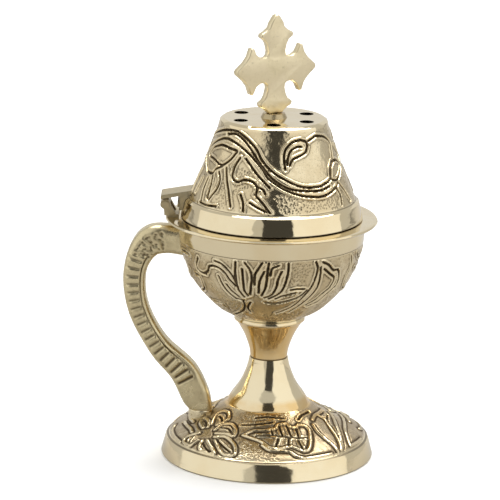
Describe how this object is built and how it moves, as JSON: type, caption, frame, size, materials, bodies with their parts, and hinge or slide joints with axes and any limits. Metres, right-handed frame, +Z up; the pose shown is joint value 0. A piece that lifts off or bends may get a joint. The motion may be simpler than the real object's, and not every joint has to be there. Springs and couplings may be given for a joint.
{
  "type": "footed hand censer",
  "caption": "Footed brass hand censer with a hinged bell lid, standing cross, side handle, smoke holes and a loose charcoal pan.",
  "frame": {"origin": "centre of the ring that the foot stands on", "axes": "+Z up along the stem; the handle and the lid's hinge are on the -X side; the front is -Y"},
  "size_m": [0.0848, 0.0712, 0.15],
  "materials": {
    "relief_brass": "cast, chased in relief, polished high places and darkened ground",
    "cast_brass": "sand cast, tumbled, darkened grooves",
    "satin_brass": "cast, filed and satin polished",
    "pan_brass": "spun, heat dulled",
    "fastener_brass": "turned"
  },
  "bodies": {
    "body": {"foot": "relief_brass", "bowl": "relief_brass", "handle": "cast_brass", "handle_top_screw": "fastener_brass", "handle_top_washer": "fastener_brass", "handle_foot_screw": "fastener_brass", "handle_foot_washer": "fastener_brass", "hinge_bracket": "cast_brass", "hinge_pin": "fastener_brass", "stem_stud": "fastener_brass", "stem_washer": "fastener_brass", "stem_nut": "fastener_brass"},
    "lid": {"lid": "relief_brass", "cross_finial": "satin_brass", "cross_collar": "satin_brass", "cross_washer": "fastener_brass", "cross_nut": "fastener_brass", "hinge_leaf": "cast_brass", "hinge_rivets": "fastener_brass"},
    "pan": {"charcoal_pan": "pan_brass"}
  },
  "joints": [
    {"name": "lid_hinge", "type": "hinge", "parent": "body", "child": "lid", "pos_m": [-0.0353, 0, 0.0862], "axis": [0, -1, 0], "range_deg": [0, 110]},
    {"name": "pan_lift", "type": "slide", "parent": "body", "child": "pan", "axis": [0, 0, 1], "range_m": [0, 0.008]}
  ]
}
